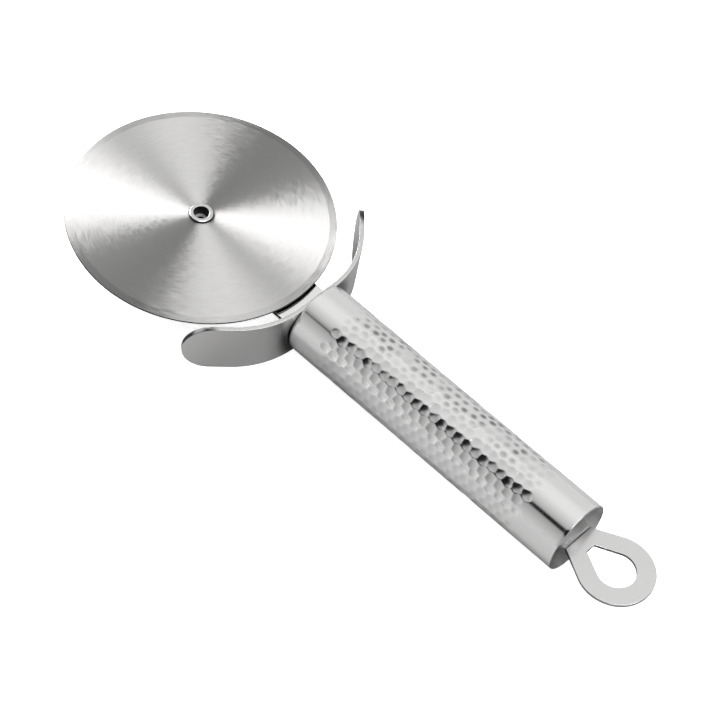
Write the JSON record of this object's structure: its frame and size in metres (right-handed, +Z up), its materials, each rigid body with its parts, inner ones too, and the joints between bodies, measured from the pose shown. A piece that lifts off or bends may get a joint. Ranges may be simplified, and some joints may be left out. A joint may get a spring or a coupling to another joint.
{
  "type": "pizza cutter",
  "caption": "Steel pizza cutter: a free-spinning wheel on a tubular rivet, a flat arm, a winged finger guard, a hammered tube handle and a hanging loop.",
  "frame": {"origin": "under the middle of the whole cutter, level with the lowest line of the handle tube as the cutter lies flat", "axes": "+X along the handle towards the wheel, +Y to the left, +Z up along the wheel's axle"},
  "size_m": [0.2398, 0.09, 0.025],
  "materials": {
    "blade_steel": "brushed in circles, ground edge",
    "eyelet_steel": "polished",
    "washer_steel": "stamped and blackened",
    "arm_steel": "polished flat",
    "guard_steel": "satin",
    "handle_steel": "hammered and polished",
    "loop_steel": "fine satin"
  },
  "bodies": {
    "frame": {"hub_eyelet": "eyelet_steel", "hub_washer": "washer_steel", "hub_spacer": "washer_steel", "blade_arm": "arm_steel", "finger_guard": "guard_steel", "handle_tube": "handle_steel", "hanging_loop": "loop_steel"},
    "wheel": {"blade": "blade_steel"}
  },
  "joints": [
    {"name": "blade_spin", "type": "hinge", "parent": "frame", "child": "wheel", "pos_m": [0.0749, 0, 0.01475], "axis": [0, 0, 1], "continuous": true}
  ]
}
